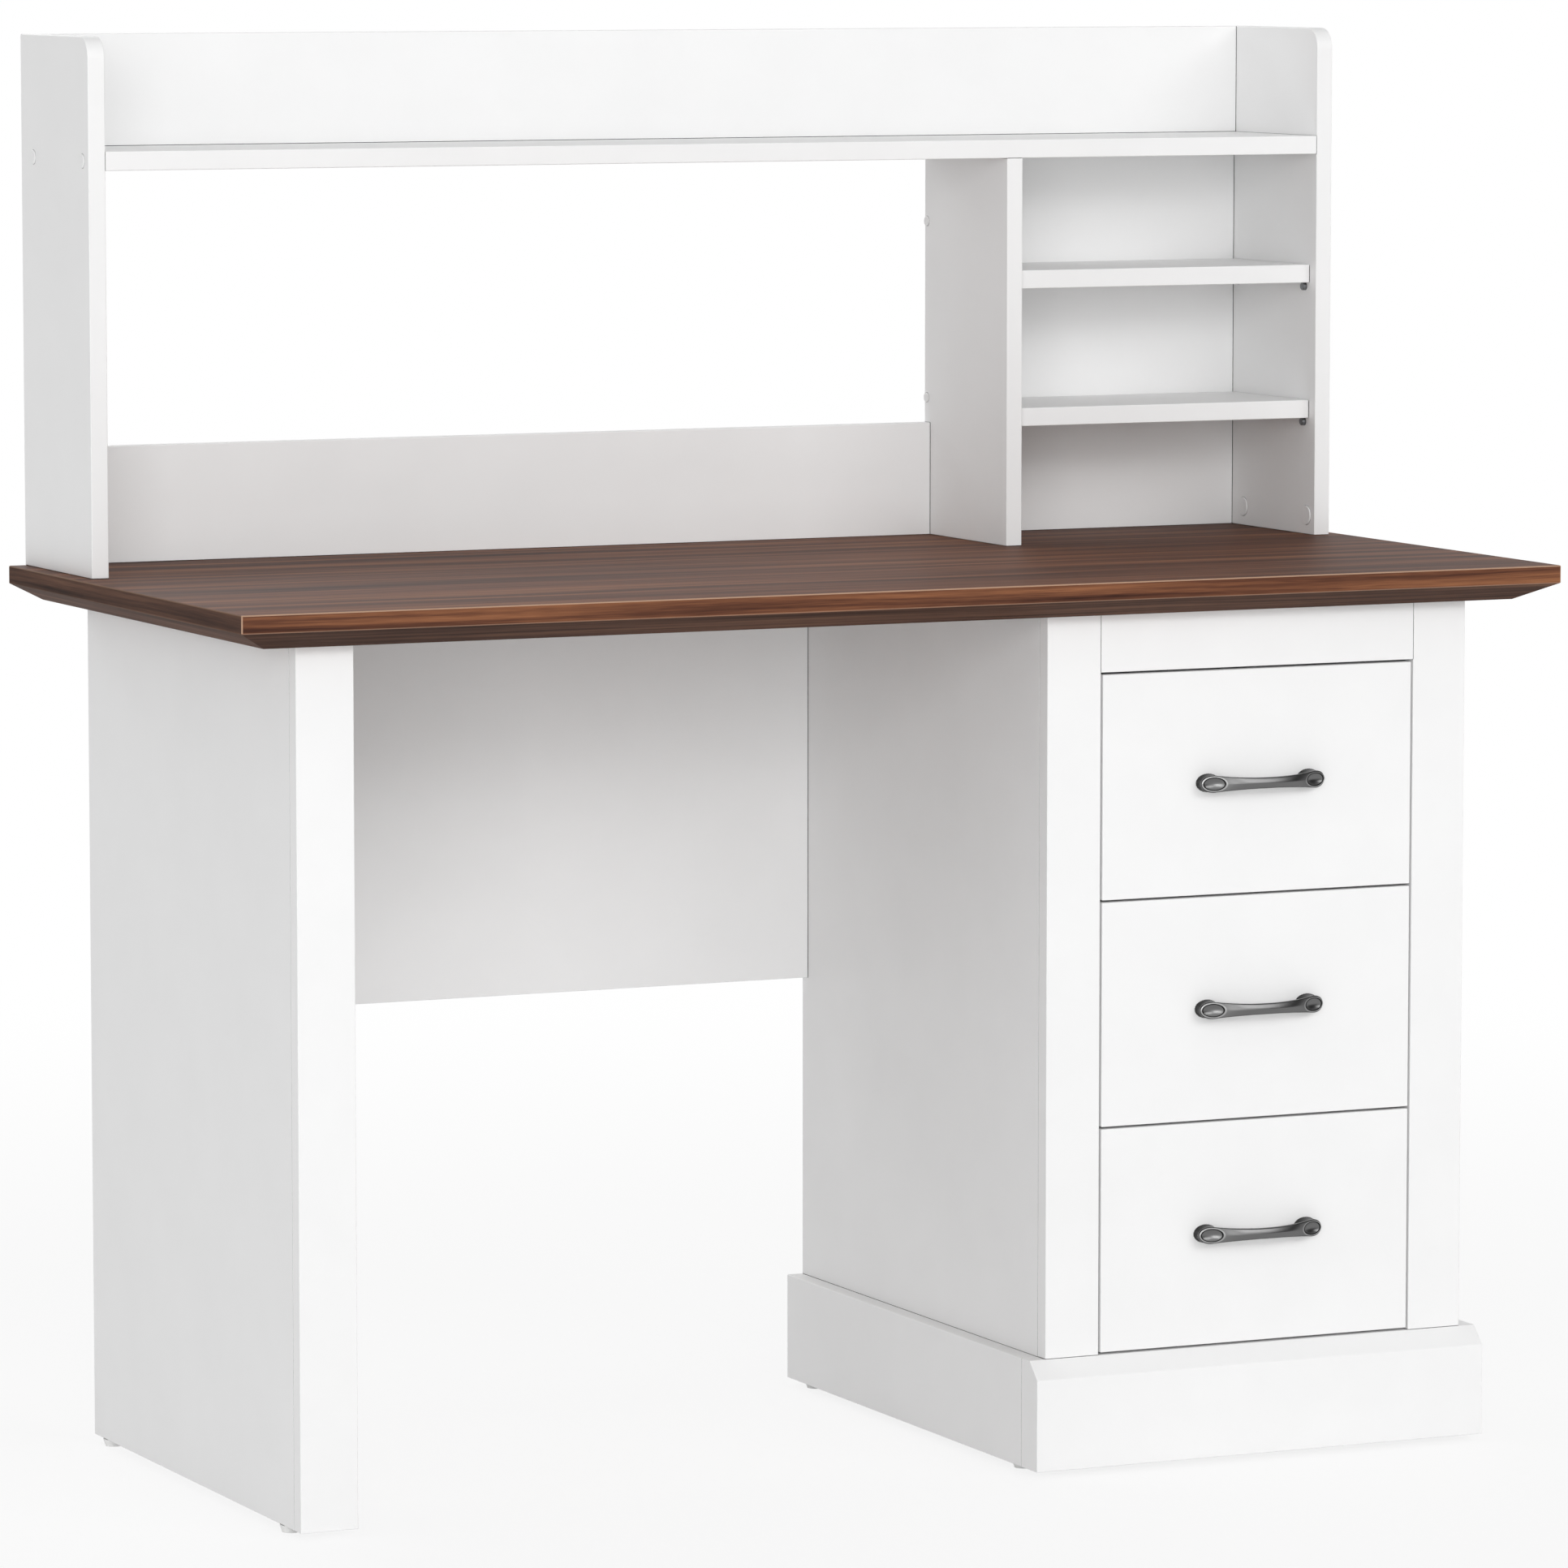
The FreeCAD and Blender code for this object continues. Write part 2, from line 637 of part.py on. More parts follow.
def build_handle(prefix, centre):
    """A cast bow handle: two oval posts with tilted domed faces, and a waisted bar bowed outwards."""
    half_spacing = handle_spacing / 2
    half_bar = handle_bar_thickness / 2
    reach = handle_rim + handle_end_length
    sections = []
    for index in range(handle_sections):
        share = 2 * index / (handle_sections - 1) - 1
        half_tall = (handle_waist + (handle_flare - handle_waist) * share ** 2) / 2
        out = handle_rim - half_bar + handle_bow * (1 - share ** 2)
        section = oval_wire(half_tall, half_bar, Y, -90)
        section.translate(V(share * half_spacing, -out, 0))
        sections.append(section)
    handle = Part.makeLoft(sections, True)
    for side in (-1, 1):
        outline = oval_wire(handle_end_length / 2, handle_end_height / 2, X, 90)
        post = Part.Face(outline).extrude(Y * -reach)
        beyond = plain_box((-reach, reach), (-2 * reach, -handle_rim), (-reach, reach))
        stretch = FreeCAD.Matrix()
        stretch.scale(V(handle_dome_length / 2, handle_dome_rise, handle_dome_height / 2))
        dome = Part.makeSphere(1).transformGeometry(stretch)
        dome.translate(V(0, -handle_rim, 0))
        for solid in (beyond, dome):
            solid.rotate(V(0, -handle_rim, 0), Z, side * handle_tilt)
        end = post.cut(beyond).fuse(dome)
        end.translate(V(side * half_spacing, 0, 0))
        handle = handle.fuse(end)
    handle.translate(centre)
    add(prefix + "handle", handle.removeSplitter())
    for side in (-1, 1):
        handle_screw(prefix, centre + X * (side * half_spacing) + Y * board)


def handle_screw(prefix, at):
    """A machine screw from inside the drawer, through the front and into a handle post."""
    length = board + handle_screw_grip
    head = rod(at, Y, handle_screw_head_diameter, handle_screw_head)
    add(prefix + "screws", head.fuse(rod(at, -Y, handle_screw_shank, length)))
    drill(rod(at, -Y, handle_screw_shank + 2 * fit, length + fit), prefix + "front", prefix + "handle")


def write_parts():
    """Cuts the holes and writes one file for each node."""
    os.makedirs("parts", exist_ok=True)
    for node, solids in pieces.items():
        tools = drillings.get(node)
        if tools:
            solids = [solid.cut(tools) for solid in solids]
        whole = [one for solid in solids for one in solid.Solids]
        shape = whole[0] if len(whole) == 1 else Part.makeCompound(whole)
        shape.exportStep("parts/" + node + ".step")


build_desktop()
build_leg()
build_pedestal()
build_glides()
build_hutch()
build_cubby_shelves()
for drawer_number, drawer_name in enumerate(drawer_names):
    build_drawer(drawer_number, drawer_name)
write_parts()
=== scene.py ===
"""The looks of a pedestal desk with a shelf hutch, built around its packed construction model."""
import bmesh
import bpy
import math
import numpy as np
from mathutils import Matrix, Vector


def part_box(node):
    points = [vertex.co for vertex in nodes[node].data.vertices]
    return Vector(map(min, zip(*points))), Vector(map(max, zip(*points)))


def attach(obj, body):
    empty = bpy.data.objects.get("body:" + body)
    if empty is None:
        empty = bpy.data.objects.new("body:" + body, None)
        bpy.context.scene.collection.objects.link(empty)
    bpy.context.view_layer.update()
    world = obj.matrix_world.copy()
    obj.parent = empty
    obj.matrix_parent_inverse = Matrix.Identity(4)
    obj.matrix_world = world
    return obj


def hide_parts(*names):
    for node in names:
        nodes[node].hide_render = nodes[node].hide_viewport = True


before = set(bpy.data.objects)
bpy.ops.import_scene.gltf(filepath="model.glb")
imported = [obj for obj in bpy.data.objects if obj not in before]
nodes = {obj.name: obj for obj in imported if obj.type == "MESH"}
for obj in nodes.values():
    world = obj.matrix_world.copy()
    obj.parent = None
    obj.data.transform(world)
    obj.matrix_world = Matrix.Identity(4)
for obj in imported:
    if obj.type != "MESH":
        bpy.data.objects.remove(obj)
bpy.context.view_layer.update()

# Carcass, plinth and hutch boards
# Particle board faced on both sides with white melamine, its edges banded in the same white and
# eased by hand. The boards are held by cams, dowels and screws, so only their faces show.
MM = 0.001


def linear(colour):
    """An sRGB hex colour as linear RGBA: each channel through the inverse of the sRGB curve."""
    levels = [int(colour[i:i + 2], 16) / 255 for i in (1, 3, 5)]
    return [v / 12.92 if v <= 0.04045 else ((v + 0.055) / 1.055) ** 2.4 for v in levels] + [1.0]


def put(tree, kind, inputs=None, ramp=None, **settings):
    """Adds one node with its settings; an input is a value to set or an output to link."""
    node = tree.nodes.new(kind)
    for name, value in settings.items():
        setattr(node, name, value)
    for name, value in (inputs or {}).items():
        if isinstance(value, bpy.types.NodeSocket):
            tree.links.new(value, node.inputs[name])
        else:
            node.inputs[name].default_value = value
    if ramp:
        stops = node.color_ramp.elements
        while len(stops) < len(ramp):
            stops.new(1.0)
        for stop, (place, colour) in zip(stops, ramp):
            stop.position = place
            stop.color = linear(colour)
    return node


def blank_material(name):
    """A named material with an empty node tree."""
    material = bpy.data.materials.new(name)
    material.use_nodes = True
    material.node_tree.nodes.clear()
    return material, material.node_tree


def millimetres(tree, stretch=(1.0, 1.0, 1.0)):
    """Object coordinates counted in millimetres, each axis divided by a stretch of the pattern."""
    place = put(tree, "ShaderNodeTexCoord")
    scale = [1 / MM / along for along in stretch]
    counted = put(tree, "ShaderNodeMapping", {"Vector": place.outputs["Object"], "Scale": scale})
    return counted.outputs[0]


def finish_material(tree, shader):
    """Joins a shader to the surface output."""
    put(tree, "ShaderNodeOutputMaterial", {"Surface": shader.outputs[0]})


def dress(material, *names):
    """Gives CAD nodes a finish in place of their plain colour."""
    for name in names:
        nodes[name].material_slots[0].material = material


def white_melamine():
    """Melamine-faced board from a pearl press plate: neutral white, low sheen, a fine soft dimple.

    The dimple is about 0.5 mm on the real sheet and is drawn at 2 mm so that it shows. Where two
    boards meet, and in inside corners, occlusion paints the colour dark grey: painted shade that
    stands for the dark hairline between their eased edges.
    """
    cloud_mm = 70
    dimple_mm = 2.0
    crease_shade_reach_mm = 0.6
    material, tree = blank_material("white_melamine")
    place = millimetres(tree)
    cloud = put(tree, "ShaderNodeTexNoise", {"Vector": place, "Scale": 1 / cloud_mm, "Detail": 2.0})
    tone = put(tree, "ShaderNodeValToRGB", {"Fac": cloud.outputs["Fac"]},
               ramp=[(0.3, "#f1f1f1"), (0.7, "#f3f3f3")])
    pearl = put(tree, "ShaderNodeTexNoise", {"Vector": place, "Scale": 1 / dimple_mm, "Detail": 1.0})
    gloss = put(tree, "ShaderNodeMapRange", {
        "Value": pearl.outputs["Fac"], "To Min": 0.40, "To Max": 0.50})
    dimple = put(tree, "ShaderNodeBump", {
        "Height": pearl.outputs["Fac"], "Strength": 0.08, "Distance": 0.05 * MM})
    # Painted shade: occlusion within a fraction of a millimetre darkens creases and inside corners.
    open_to_air = put(tree, "ShaderNodeAmbientOcclusion", {"Distance": crease_shade_reach_mm * MM}, samples=3)
    painted_crease_shade = put(tree, "ShaderNodeMapRange", {
        "Value": open_to_air.outputs["AO"], "From Min": 0.8, "From Max": 0.97})
    tone_with_painted_crease_shade = put(tree, "ShaderNodeMix", {
        "Factor": painted_crease_shade.outputs["Result"], "A": linear("#3c3c3c"), "B": tone.outputs["Color"]},
        data_type="RGBA")
    finish_material(tree, put(tree, "ShaderNodeBsdfPrincipled", {
        "Base Color": tone_with_painted_crease_shade.outputs["Result"], "Roughness": gloss.outputs["Result"],
        "Normal": dimple.outputs["Normal"]}))
    return material


melamine = white_melamine()
dress(melamine, "left_leg_side_panel", "left_leg_front_stile", "modesty_panel",
      "pedestal_left_side_panel", "pedestal_right_side_panel", "pedestal_left_stile",
      "pedestal_right_stile", "pedestal_top_rail", "pedestal_bottom_panel", "pedestal_back_panel",
      "pedestal_top_stretchers", "plinth_front_board", "plinth_left_board", "plinth_right_board",
      "hutch_left_upright", "hutch_right_upright", "hutch_divider", "hutch_top_shelf",
      "hutch_upper_back_board", "hutch_lower_back_rail", "hutch_cubby_back_panel", "cubby_shelves")

# Foot glides
# Six moulded polypropylene glides nailed under the leg and under the seams of the plinth. They lift
# the boards off the floor and are a little greyer than the boards.


def moulded_plastic(name, low, high, grain_mm, roughness):
    """Injection-moulded plastic: an even colour with a spark-eroded mould texture of a given grain."""
    material, tree = blank_material(name)
    place = millimetres(tree)
    grain = put(tree, "ShaderNodeTexNoise", {"Vector": place, "Scale": 1 / grain_mm, "Detail": 2.0})
    tone = put(tree, "ShaderNodeValToRGB", {"Fac": grain.outputs["Fac"]}, ramp=[(0.3, low), (0.7, high)])
    skin = put(tree, "ShaderNodeBump", {
        "Height": grain.outputs["Fac"], "Strength": 0.15, "Distance": 0.05 * MM})
    finish_material(tree, put(tree, "ShaderNodeBsdfPrincipled", {
        "Base Color": tone.outputs["Color"], "Roughness": roughness, "Normal": skin.outputs["Normal"]}))
    return material


dress(moulded_plastic("polypropylene_glide", "#ebebea", "#f1f1f0", 1.5, 0.5), "foot_glides")

# Cams, bolts and screws
# Cast zinc cams turn in pockets in the boards and draw in zinc-plated steel bolts. The screws are
# plated the same way.


def plated_steel(name, low, high, roughness, stretch):
    """Zinc-plated steel: a clear silver over the faint drawing lines of wire or strip."""
    uneven = 0.06
    material, tree = blank_material(name)
    place = millimetres(tree, stretch)
    lines = put(tree, "ShaderNodeTexNoise", {"Vector": place, "Scale": 1.0, "Detail": 3.0})
    tone = put(tree, "ShaderNodeValToRGB", {"Fac": lines.outputs["Fac"]}, ramp=[(0.3, low), (0.7, high)])
    gloss = put(tree, "ShaderNodeMapRange", {
        "Value": lines.outputs["Fac"], "To Min": roughness - uneven, "To Max": roughness + uneven})
    finish_material(tree, put(tree, "ShaderNodeBsdfPrincipled", {
        "Base Color": tone.outputs["Color"], "Metallic": 1.0, "Roughness": gloss.outputs["Result"]}))
    return material


def cast_zinc():
    """Zinc die casting straight from the tool: dull grey metal with a fine grainy skin."""
    grain_mm = 0.8
    material, tree = blank_material("cast_zinc")
    place = millimetres(tree)
    grain = put(tree, "ShaderNodeTexNoise", {"Vector": place, "Scale": 1 / grain_mm, "Detail": 3.0})
    tone = put(tree, "ShaderNodeValToRGB", {"Fac": grain.outputs["Fac"]},
               ramp=[(0.3, "#8b8c8d"), (0.7, "#a6a7a8")])
    skin = put(tree, "ShaderNodeBump", {
        "Height": grain.outputs["Fac"], "Strength": 0.3, "Distance": 0.05 * MM})
    finish_material(tree, put(tree, "ShaderNodeBsdfPrincipled", {
        "Base Color": tone.outputs["Color"], "Metallic": 1.0, "Roughness": 0.45,
        "Normal": skin.outputs["Normal"]}))
    return material


dress(cast_zinc(), "cam_locks")
dress(plated_steel("zinc_plated_wire", "#a9adb2", "#c3c7cb", 0.32, (1.0, 1.0, 1.0)),
      "cam_bolts", "panel_screws", "slide_fixed_screws", "top_drawer_screws", "middle_drawer_screws",
      "bottom_drawer_screws")

# Dowels and slide packers
# Fluted beech dowels line the boards up. Planed pine packers bring the slides out to the line of
# the stiles inside the pedestal.


def planed_wood(name, early, late, ring_mm, stretch):
    """Straight-grained wood: rings of early and late wood drawn out along the grain."""
    material, tree = blank_material(name)
    place = millimetres(tree, stretch)
    rings = put(tree, "ShaderNodeTexNoise", {"Vector": place, "Scale": 1 / ring_mm, "Detail": 4.0})
    tone = put(tree, "ShaderNodeValToRGB", {"Fac": rings.outputs["Fac"]},
               ramp=[(0.35, early), (0.62, late)])
    fibre = put(tree, "ShaderNodeBump", {
        "Height": rings.outputs["Fac"], "Strength": 0.2, "Distance": 0.1 * MM})
    finish_material(tree, put(tree, "ShaderNodeBsdfPrincipled", {
        "Base Color": tone.outputs["Color"], "Roughness": 0.6, "Normal": fibre.outputs["Normal"]}))
    return material


dress(planed_wood("planed_pine", "#dcbd8a", "#b98c55", 4.0, (1.0, 60.0, 1.0)), "slide_packers")
# Dowels lie along every axis, so their grain has no direction of its own.
dress(planed_wood("turned_beech", "#d0a67c", "#b58759", 1.5, (8.0, 8.0, 8.0)), "dowels")

# Telescopic slides
# Three nested channels of rolled, zinc-plated steel strip for each side of a drawer: one screwed
# to a packer, one to the drawer, and a middle one that runs between them.
strip = plated_steel("zinc_plated_strip", "#aeb2b6", "#c8cbce", 0.28, (0.6, 90.0, 0.6))
dress(strip, "slide_fixed_rails")
drawers = ("top", "middle", "bottom")
for drawer in drawers:
    dress(strip, drawer + "_drawer_rails", drawer + "_drawer_middle_rails")

# Desktop
# A board with a square edge over a bevelled lower half, faced on top with a matte walnut laminate.
# A satin foil is wrapped along its front edge and a matte one under its bevel and round its ends,
# with pale trimmed arrises that also carry a painted highlight, strongest on the front.
desk_low, desk_high = (np.array(corner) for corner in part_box("desktop"))
desk_middle = (desk_low + desk_high) / 2
desk_half = (desk_high - desk_low) / 2
desk_edge = 15 * MM
desk_bevel_inset = 30 * MM
desk_arris = 1.0 * MM
arc_steps = 4
FACE, BEVEL, EDGE, LOWER_ARRIS, UPPER_ARRIS = range(5)
# How pale the front and corner arrises are painted, how pale those of the ends, and what share of
# either is left along the lower edge: the pale edge of the sheet with a painted highlight on top.
front_arris_pale_and_highlight = 0.9
end_arris_pale_and_highlight = 0.25
lower_arris_share = 0.4


def desktop_profile():
    """The rim's section, from the underside's middle line round to the top's middle line.

    A row is an inset of the ends and front, an inset of the back, and a height. A point of an arc
    whose outward normal stands at an angle b from straight down lies r sin b out of the arc's
    centre and r cos b below it. Also gives the kind of each strip between two rows.
    """
    r = desk_arris
    under, top = desk_low[2], desk_high[2]
    shoulder = top - desk_edge
    lean = math.atan2(shoulder - under, desk_bevel_inset)
    foot_turn = np.linspace(0, math.pi / 2, arc_steps + 1)
    lower_turn = np.linspace(lean, math.pi / 2, arc_steps + 1)
    upper_turn = np.linspace(math.pi / 2, math.pi, arc_steps + 1)
    foot_z = under + r - r * np.cos(foot_turn)
    lower_z = shoulder + r * (1 - math.sin(lean)) / math.cos(lean) - r * np.cos(lower_turn)
    upper_z = top - r - r * np.cos(upper_turn)
    foot_side = desk_bevel_inset * (shoulder - foot_z) / (shoulder - under)
    arcs = r - r * np.sin(np.concatenate([lower_turn, upper_turn]))
    side = np.concatenate([[desk_half[1]], foot_side, arcs, [desk_half[1]]])
    height = np.concatenate([[under], foot_z, lower_z, upper_z, [top]])
    depth = np.minimum(np.minimum(height - under, top - height), r)
    back = r - np.sqrt(r ** 2 - (r - depth) ** 2)
    back[[0, -1]] = desk_half[1]
    kinds = [FACE, BEVEL, LOWER_ARRIS, EDGE, UPPER_ARRIS, FACE]
    kind = np.repeat(kinds, [1, arc_steps + 1, arc_steps, 1, arc_steps, 1])
    return side, back, height, kind


def rounded_rings(side, back, height):
    """One rectangle for each row, anticlockwise from its front left corner, with quarter-round corners.

    A corner's point at angle a lies one radius from the corner's centre in the direction of a.
    """
    start = np.repeat([math.pi, 1.5 * math.pi, 0.0, 0.5 * math.pi], arc_steps + 1)
    angle = start + np.tile(np.linspace(0, math.pi / 2, arc_steps + 1), 4)
    right = np.repeat([-1.0, 1.0, 1.0, -1.0], arc_steps + 1)
    behind = np.repeat([False, False, True, True], arc_steps + 1)
    radius = np.where(side < desk_half[1], desk_arris, 0.0)[:, None]
    x = right * (desk_half[0] - side[:, None] - radius) + radius * np.cos(angle)
    front_y = -desk_half[1] + side[:, None] + radius
    back_y = desk_half[1] - back[:, None] - radius
    y = np.where(behind, back_y, front_y) + radius * np.sin(angle)
    rings = np.stack([x, y, np.broadcast_to(height[:, None], x.shape)], -1)
    return rings + [desk_middle[0], desk_middle[1], 0.0]


def ring_faces(rows, columns, first=0):
    """Quads between neighbouring rows of a grid whose columns close into a ring."""
    i, j = np.meshgrid(np.arange(rows - 1), np.arange(columns), indexing="ij")
    k = (j + 1) % columns
    corners = [i * columns + j, i * columns + k, (i + 1) * columns + k, (i + 1) * columns + j]
    return first + np.stack(corners, -1).reshape(-1, 4)


def shown(name, mesh):
    """Puts a mesh into the scene as an object at the origin, its poles and seams closed."""
    weld = 0.001 * MM
    shape = bmesh.new()
    shape.from_mesh(mesh)
    bmesh.ops.remove_doubles(shape, verts=shape.verts, dist=weld)
    shape.to_mesh(mesh)
    shape.free()
    piece = bpy.data.objects.new(name, mesh)
    bpy.context.scene.collection.objects.link(piece)
    return piece


def build_desktop():
    """The wrapped rim and both faces as one closed skin, with a grain map laid along each side.

    The ends take the bevel's foil, and the other arrises take the front edge's.
    """
    side, back, height, kind = desktop_profile()
    rings = rounded_rings(side, back, height)
    rows, columns = rings.shape[:2]
    faces = ring_faces(rows, columns)
    mesh = bpy.data.meshes.new("walnut_desktop")
    mesh.from_pydata(rings.reshape(-1, 3), [], faces)
    face_kind = np.repeat(kind, columns)
    corner = np.tile(np.arange(columns) % (arc_steps + 1) < arc_steps, rows - 1)
    stretch = np.tile(np.arange(columns) // (arc_steps + 1), rows - 1)
    arris = (face_kind >= LOWER_ARRIS) | (corner & (face_kind == EDGE))
    rounded = arris | (corner & (face_kind == BEVEL))
    along_y = (stretch % 2 == 1) & ~corner
    # Painted highlight: the arrises are painted paler, most on the front, where the light falls.
    pale_edge_and_highlight = arris * np.where((stretch == 0) | corner, front_arris_pale_and_highlight, end_arris_pale_and_highlight)
    pale_edge_and_highlight = pale_edge_and_highlight * np.where(face_kind == LOWER_ARRIS, lower_arris_share, 1.0)
    points = rings.reshape(-1, 3)[faces]
    step = np.hypot(np.diff(side), np.diff(height))
    across = np.concatenate([[0.0], np.cumsum(step)])[faces // columns]
    length = np.where(along_y[:, None], points[..., 1], points[..., 0])
    flat = (face_kind == FACE)[:, None]
    grain = np.stack([np.where(flat, points[..., 0], length), np.where(flat, points[..., 1], across)], -1)
    mesh.uv_layers.new(name="grain").data.foreach_set("uv", grain.ravel())
    mesh.attributes.new("arris", "FLOAT", "FACE").data.foreach_set("value", pale_edge_and_highlight.astype(np.float32))
    mesh.polygons.foreach_set("use_smooth", rounded)
    sheet = np.where(along_y & (face_kind > FACE), BEVEL, np.minimum(face_kind, EDGE))
    mesh.polygons.foreach_set("material_index", sheet)
    return shown("walnut_desktop", mesh)


def walnut(name, ramp, wander_mm, roughness, shine):
    """Printed walnut: broad bands, streaks and short pores, each drawn out along the grain.

    The grain wanders a few millimetres over a hand's width. Bands are about 24 mm across, streaks
    3.5 mm and pores 1 mm. The trimmed arris shows the pale edge of the sheet, together with a painted
    highlight.
    """
    drift_long_mm, drift_wide_mm = 300, 90
    # Each layer has a length and a width in millimetres, a detail and a weight.
    figure_layers = ((800, 24, 2.0, 0.5), (260, 3.5, 3.0, 0.36), (30, 1.0, 1.0, 0.14))
    uneven = 0.05
    material, tree = blank_material(name)
    place = put(tree, "ShaderNodeUVMap", uv_map="grain")
    grain = put(tree, "ShaderNodeMapping", {
        "Vector": place.outputs["UV"], "Scale": (1 / MM, 1 / MM, 1.0)})
    slow = put(tree, "ShaderNodeMapping", {
        "Vector": grain.outputs[0], "Scale": (1 / drift_long_mm, 1 / drift_wide_mm, 1.0)})
    drift = put(tree, "ShaderNodeTexNoise", {"Vector": slow.outputs[0], "Scale": 1.0, "Detail": 2.0})
    wander = put(tree, "ShaderNodeMapRange", {
        "Value": drift.outputs["Fac"], "To Min": -wander_mm, "To Max": wander_mm})
    shift = put(tree, "ShaderNodeCombineXYZ", {"Y": wander.outputs["Result"]})
    bent = put(tree, "ShaderNodeVectorMath", {0: grain.outputs[0], 1: shift.outputs[0]}, operation="ADD")
    figure = 0.0
    for long_mm, wide_mm, detail, weight in figure_layers:
        drawn = put(tree, "ShaderNodeMapping", {
            "Vector": bent.outputs[0], "Scale": (1 / long_mm, 1 / wide_mm, 1.0)})
        layer = put(tree, "ShaderNodeTexNoise", {
            "Vector": drawn.outputs[0], "Scale": 1.0, "Detail": detail})
        added = put(tree, "ShaderNodeMath", {0: layer.outputs["Fac"], 1: weight, 2: figure},
                    operation="MULTIPLY_ADD")
        figure = added.outputs[0]
    pores = layer.outputs["Fac"]
    tone = put(tree, "ShaderNodeValToRGB", {"Fac": figure}, ramp=ramp)
    # Pale sheet edge and painted highlight: the arris attribute mixes the arrises towards a pale tan.
    arris = put(tree, "ShaderNodeAttribute", attribute_name="arris")
    pale_edge_and_highlight = put(tree, "ShaderNodeMix", {
        "Factor": arris.outputs["Fac"], "A": tone.outputs["Color"], "B": linear("#b9977f")},
        data_type="RGBA")
    gloss = put(tree, "ShaderNodeMapRange", {
        "Value": pores, "To Min": roughness - uneven, "To Max": roughness + uneven})
    relief = put(tree, "ShaderNodeBump", {"Height": pores, "Strength": 0.1, "Distance": 0.05 * MM})
    finish_material(tree, put(tree, "ShaderNodeBsdfPrincipled", {
        "Base Color": pale_edge_and_highlight.outputs["Result"], "Roughness": gloss.outputs["Result"],
        "Specular IOR Level": shine, "Normal": relief.outputs["Normal"]}))
    return material


desktop = build_desktop()
face_ramp = [(0.35, "#24140e"), (0.45, "#4e3124"), (0.55, "#754b36"), (0.66, "#926649")]
bevel_ramp = [(0.34, "#2b1d18"), (0.45, "#49342b"), (0.56, "#63483b"), (0.68, "#7a5c4a")]
edge_ramp = [(0.34, "#38211a"), (0.45, "#5f3b2b"), (0.56, "#87583d"), (0.68, "#a5724e")]
desktop.data.materials.append(walnut("matte_walnut_laminate", face_ramp, 9.0, 0.5, 0.05))
desktop.data.materials.append(walnut("matte_walnut_foil", bevel_ramp, 4.0, 0.6, 0.04))
desktop.data.materials.append(walnut("satin_walnut_foil", edge_ramp, 4.0, 0.4, 0.1))
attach(desktop, "desk_frame")
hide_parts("desktop")

# Drawer boxes
# Sides and backs of white-faced board with a bottom of white hardboard in a groove. Each front is
# the same white board as the carcass, set between the stiles with a narrow gap all round.


def white_hardboard():
    """Hardboard with one painted face: a soft white film over pressed fibre."""
    fibre_mm = 3.0
    material, tree = blank_material("white_hardboard")
    place = millimetres(tree)
    fibre = put(tree, "ShaderNodeTexNoise", {"Vector": place, "Scale": 1 / fibre_mm, "Detail": 4.0})
    tone = put(tree, "ShaderNodeValToRGB", {"Fac": fibre.outputs["Fac"]},
               ramp=[(0.3, "#dfdfdd"), (0.7, "#e9e9e7")])
    film = put(tree, "ShaderNodeBump", {
        "Height": fibre.outputs["Fac"], "Strength": 0.15, "Distance": 0.1 * MM})
    finish_material(tree, put(tree, "ShaderNodeBsdfPrincipled", {
        "Base Color": tone.outputs["Color"], "Roughness": 0.55, "Normal": film.outputs["Normal"]}))
    return material


hardboard = white_hardboard()
box_boards = ("front", "left_side", "right_side", "back")
for drawer in drawers:
    dress(melamine, *(drawer + "_drawer_" + board for board in box_boards))
    dress(hardboard, drawer + "_drawer_bottom")

# Drawer handles
# A bow handle cast in zinc and plated in black nickel, polished through to a paler rim that also
# carries a painted highlight, with painted shade on its dish walls, back and posts and a painted dark
# reflection on its edges. Its bar is waisted and ridged, and each end is a dished oval on a post
# held by a screw. Lengths are in mm.
handle_spacing = 96.0
handle_rim = 12.0
handle_bow = 10.0
handle_ease = (0.59, 0.85)
handle_waist = 9.0
handle_end_height = 14.5
waist_power = 2.2
pad_turn_from = 46.5
bar_thickness = 6.0
end_thickness = 4.0
back_edge_share = 0.55
bar_ridge = 1.4
ridge_power = 1.4
ridge_ends = (20.0, 42.0)
end_crown = 0.2
edge_round = 0.7
dish_oval = (11.0, 6.6)
dish_edge = 0.84
dish_depth = 2.3
bar_steps = 321
face_steps = 65
back_steps = 25
post_half_length = 10.5
post_sink = 2.2
post_steps = 64
# Each point of a post's profile is a share of its oval and a share of its height.
post_profile = ((0.0, 0.0), (1.05, 0.0), (1.03, 0.08), (0.97, 0.16), (0.95, 1.0), (0.0, 1.0))
# Polish and painted shade run from -1, dark, to 1, bright: the rims are polish with a painted
# highlight, the edges a painted dark reflection, and the dish walls, back and posts painted shade.
# Shares of the dish's oval place the rim and the wall.
rim_polish_and_highlight = 0.6
rim_line = 0.93
rim_band = 0.05
wall_inset = 0.03
wall_band = 0.04
edge_painted_dark_reflection = 0.85
edge_band = 0.6
back_painted_shade = -0.3
post_painted_shade = -0.5
sharp_angle = math.radians(40)


def handle_front(x):
    """How far the face stands out at x: a parabola over the bar that runs straight over each end.

    With s = x over half the spacing, it falls by s^2 to the start of the ease. In the ease, of length e,
    its slope grows ever less, which takes t^3 / 3e off that fall at t into the ease, and then stays.
    """
    start, end = handle_ease
    share = np.abs(x) / (handle_spacing / 2)
    bowed = np.minimum(share, end)
    eased = np.clip(share - start, 0, end - start)
    fall = bowed ** 2 - eased ** 3 / (3 * (end - start)) + (start + end) * (share - bowed)
    return handle_rim + handle_bow * (1 - fall)


